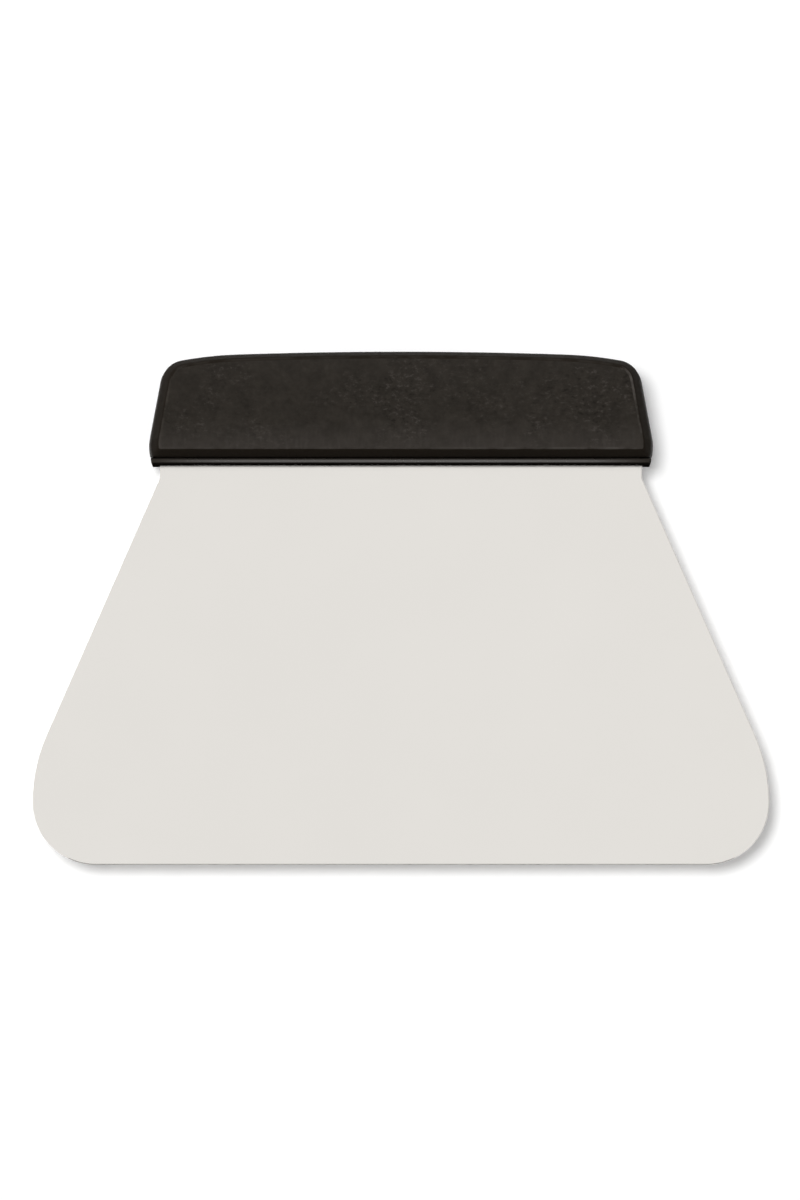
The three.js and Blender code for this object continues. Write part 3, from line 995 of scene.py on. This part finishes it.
def scuffed_tone(rubber, finish, tone):
    """A tone with pale scratches and dark pits, mostly in patches."""
    scuffs = rubber.noise(rubber.place(SCUFF_STRETCH), per_metre=700.0, detail=3.0, roughness=0.7)
    patches = rubber.noise(rubber.place(), per_metre=75.0)
    rubbed = rubber.spread(patches, low=0.15, high=1.0, start=0.45, stop=0.62)
    scratches = rubber.spread(scuffs, low=0.0, high=SCRATCHES_SHOW, start=0.55, stop=0.7)
    pits = rubber.spread(scuffs, low=PITS_SHOW, high=0.0, start=0.3, stop=0.45)
    tone = rubber.blended(rubber.times(rubbed, scratches), tone, opaque(finish.grip_pale))
    return rubber.blended(rubber.times(rubbed, pits), tone, tinted(finish.grip, PIT_TINT))


def lit_strip_tone(rubber, finish, tone, lower, upper):
    """A tone painted paler, as painted light, in a streaky strip along the lower edge, and a little at the
    top.
    """
    pale = opaque(finish.grip_pale)
    borders = rubber.noise(rubber.place(), per_metre=200.0)
    waver = rubber.spread(borders, low=-WAVER, high=WAVER)
    height = rubber.combined("ADD", rubber.along("Y"), waver)
    strip = rubber.spread(height, low=LIT_STRIP_SHOWS, high=0.0, start=lower, stop=lower + LIT_STRIP_HEIGHT)
    lines = rubber.noise(rubber.place(STREAK_STRETCH), per_metre=1000.0)
    streaks = rubber.spread(lines, low=0.0, high=STREAKS_SHOW, start=0.5, stop=0.7)
    top = rubber.spread(height, low=0.0, high=TOP_LIGHT_SHOWS, start=upper - TOP_LIGHT_HEIGHT, stop=upper)
    tone = rubber.blended(strip, tone, pale)
    tone = rubber.blended(rubber.times(strip, streaks), tone, pale)
    return rubber.blended(top, tone, pale)


def sheen_tone(rubber, finish, tone):
    """A tone with a painted highlight in patches along the edge of the face."""
    clouds = rubber.noise(rubber.place(), per_metre=250.0, detail=3.0)
    patches = rubber.spread(clouds, low=0.0, high=1.0, start=0.4, stop=0.6)
    sheen = rubber.times(rubber.attribute(SHEEN_ATTRIBUTE), patches)
    return rubber.blended(sheen, tone, opaque(finish.grip_sheen))


def soft_rubber(finish, layout):
    """Matte black rubber: a fine moulded grain and a mottled, scuffed face, with painted light: paler
    strips and an edge highlight on the face, and shade on the bevels and walls.
    """
    rubber = Surface("soft black rubber")
    specks = rubber.noise(rubber.place(), per_metre=900.0)
    grain = rubber.noise(rubber.place(), per_metre=2600.0)
    face = mottled_tone(rubber, finish, specks)
    face = scuffed_tone(rubber, finish, face)
    face = lit_strip_tone(rubber, finish, face, *layout.face_span())
    # Bevels and walls take the darker colour as painted shade, and the top bevel takes a little of the
    # face's tone as painted light.
    tone = rubber.blended(rubber.attribute(TONE_AND_SHADE_ATTRIBUTE), opaque(finish.grip_edge_shade), face)
    rubber.give("Base Color", sheen_tone(rubber, finish, tone))
    rubber.give("Specular IOR Level", 0.05)
    rubber.give("Roughness", rubber.spread(specks, low=0.52, high=0.66))
    coarse = rubber.bump(specks, COARSE_DEPTH, strength=0.3)
    rubber.give("Normal", rubber.bump(grain, FINE_DEPTH, strength=0.4, below=coarse))
    return rubber.material


def pale_floor(finish, stage):
    """A floor that takes shadow, and whose white is partly its own wherever it is seen."""
    floor = Surface("pale floor")
    floor.tree.nodes.remove(floor.shader)
    paint = floor.add("ShaderNodeBsdfDiffuse")
    floor.feed(paint.inputs["Color"], opaque(finish.floor))
    glow = floor.add("ShaderNodeEmission")
    seen = floor.seen_by("Is Camera Ray", "Is Glossy Ray", "Is Transmission Ray")
    floor.feed(glow.inputs["Strength"], floor.times(seen, stage.floor_glow))
    both = floor.add("ShaderNodeAddShader")
    floor.feed(both.inputs[0], paint.outputs["BSDF"])
    floor.feed(both.inputs[1], glow.outputs["Emission"])
    floor.feed(floor.tree.nodes["Material Output"].inputs["Surface"], both.outputs["Shader"])
    return floor.material


# Stage

# The room as it looks from the scraper: towards the front and towards the right it is white up to the first
# angle out of the upright plane through the scraper, and dim, at a share of the white, past the second.
FRONT_CLEAR = math.radians(36)
FRONT_DIM = math.radians(56)
FRONT_LEVEL = 0.04
RIGHT_CLEAR = math.radians(30)
RIGHT_DIM = math.radians(60)
RIGHT_LEVEL = 0.2


def studio_world(stage):
    """A white room that is dark in front, past the working edge, and dim on the right.

    Polished surfaces show the room in full, it lights the rest at the ambient level, and the camera
    sees plain white.
    """
    world = bpy.data.worlds.new("studio")
    bpy.context.scene.world = world
    nodes = Nodes(world)
    background = nodes.tree.nodes["Background"]
    nodes.feed(background.inputs["Color"], opaque((1.0, 1.0, 1.0)))

    direction = nodes.add("ShaderNodeSeparateXYZ")
    nodes.feed(direction.inputs["Vector"], nodes.add("ShaderNodeTexCoord").outputs["Generated"])
    front = nodes.spread(
        direction.outputs["Y"],
        low=FRONT_LEVEL,
        high=1.0,
        start=-math.sin(FRONT_DIM),
        stop=-math.sin(FRONT_CLEAR),
        ramp="SMOOTHSTEP",
    )
    right = nodes.spread(
        direction.outputs["X"],
        low=1.0,
        high=RIGHT_LEVEL,
        start=math.sin(RIGHT_CLEAR),
        stop=math.sin(RIGHT_DIM),
        ramp="SMOOTHSTEP",
    )
    room = nodes.times(front, right)
    ambient = nodes.times(room, stage.ambient)
    lit = nodes.between(nodes.seen_by("Is Glossy Ray", "Is Transmission Ray"), ambient, room)
    shown = nodes.between(nodes.seen_by("Is Camera Ray"), lit, 1.0)
    nodes.feed(background.inputs["Strength"], shown)


def key_light(stage):
    """A soft key light, nearly overhead and leaning to the left, which polished surfaces don't show."""
    lamp = bpy.data.lights.new("key", "SUN")
    lamp.energy = stage.key_level * math.pi
    lamp.angle = stage.key_size
    key = bpy.data.objects.new("key", lamp)
    turn = Matrix.Rotation(stage.key_turn, 4, "Z")
    key.matrix_world = turn @ Matrix.Rotation(-stage.key_tilt, 4, "X")
    key.visible_glossy = False
    bpy.context.scene.collection.objects.link(key)


def photo_camera(stage, layout):
    """A far camera at the photograph's angle and framing.

    Its sensor's width spans the longer side of the picture, which is its height.
    """
    view = bpy.data.cameras.new("photo view")
    view.lens = view.sensor_width * stage.distance / (PHOTO_HEIGHT * PIXEL)
    view.clip_end = 2 * stage.distance
    tilt = layout.rest_angle + stage.view_tilt
    aim = layout.lying_down() @ Vector((stage.aim_side, stage.aim_height, 0.0))
    camera = bpy.data.objects.new("photo view", view)
    camera.location = aim + stage.distance * Vector((0.0, -math.sin(tilt), math.cos(tilt)))
    camera.rotation_euler = (tilt, 0.0, 0.0)
    bpy.context.scene.collection.objects.link(camera)
    bpy.context.scene.camera = camera


def lay_floor(stage, finish):
    """The floor under the scraper: it meets the top of the handle and falls away from it."""
    bm = bmesh.new()
    place = Matrix.Translation((0.0, CAD_HIGH.y, 0.0)) @ Matrix.Rotation(stage.floor_slope, 4, "X")
    bmesh.ops.create_grid(bm, x_segments=1, y_segments=1, size=stage.floor_size / 2, matrix=place)
    mesh = bpy.data.meshes.new("floor")
    bm.to_mesh(mesh)
    bm.free()
    mesh.materials.append(pale_floor(finish, stage))
    ground = bpy.data.objects.new("floor", mesh)
    bpy.context.scene.collection.objects.link(ground)


class SCRAPER_OT_stage(bpy.types.Operator):
    """Set up the floor, the light and the camera"""

    bl_idname = "scraper.stage"
    bl_label = "Stage"

    def execute(self, context):
        scene = context.scene
        scene.view_settings.view_transform = "Standard"
        studio_world(scene.scraper_stage)
        key_light(scene.scraper_stage)
        lay_floor(scene.scraper_stage, scene.scraper_finish)
        photo_camera(scene.scraper_stage, Layout(scene))
        return {"FINISHED"}


class SCRAPER_PT_panel(bpy.types.Panel):
    """Lists the pieces of the scraper and their sizes"""

    bl_label = "Dough Scraper"
    bl_idname = "SCRAPER_PT_panel"
    bl_space_type = "VIEW_3D"
    bl_region_type = "UI"
    bl_category = "Scraper"

    def draw(self, context):
        for operator in OPERATORS:
            self.layout.operator(operator.bl_idname)
        for name, kind in GROUPS.items():
            box = self.layout.box()
            box.label(text=kind.__doc__)
            for size in kind.__annotations__:
                box.prop(getattr(context.scene, name), size)


OPERATORS = (SCRAPER_OT_blade, SCRAPER_OT_handle_core, SCRAPER_OT_soft_grip, SCRAPER_OT_stage)
GROUPS = {
    "scraper_blade": BladeSizes,
    "scraper_handle": HandleSizes,
    "scraper_grip": GripSizes,
    "scraper_core": CoreSizes,
    "scraper_finish": Finishes,
    "scraper_stage": StageSettings,
}


def register():
    """Adds the groups of sizes, the operators and the panel to Blender."""
    for name, group in GROUPS.items():
        bpy.utils.register_class(group)
        setattr(bpy.types.Scene, name, PointerProperty(type=group))
    for operator in OPERATORS:
        bpy.utils.register_class(operator)
    bpy.utils.register_class(SCRAPER_PT_panel)


def unregister():
    """Takes them out again."""
    bpy.utils.unregister_class(SCRAPER_PT_panel)
    for operator in reversed(OPERATORS):
        bpy.utils.unregister_class(operator)
    for name, group in reversed(GROUPS.items()):
        delattr(bpy.types.Scene, name)
        bpy.utils.unregister_class(group)


def main():
    """Makes the scraper and its stage."""
    register()
    bpy.ops.scraper.blade()
    bpy.ops.scraper.handle_core()
    bpy.ops.scraper.soft_grip()
    bpy.ops.scraper.stage()


if __name__ == "__main__":
    main()
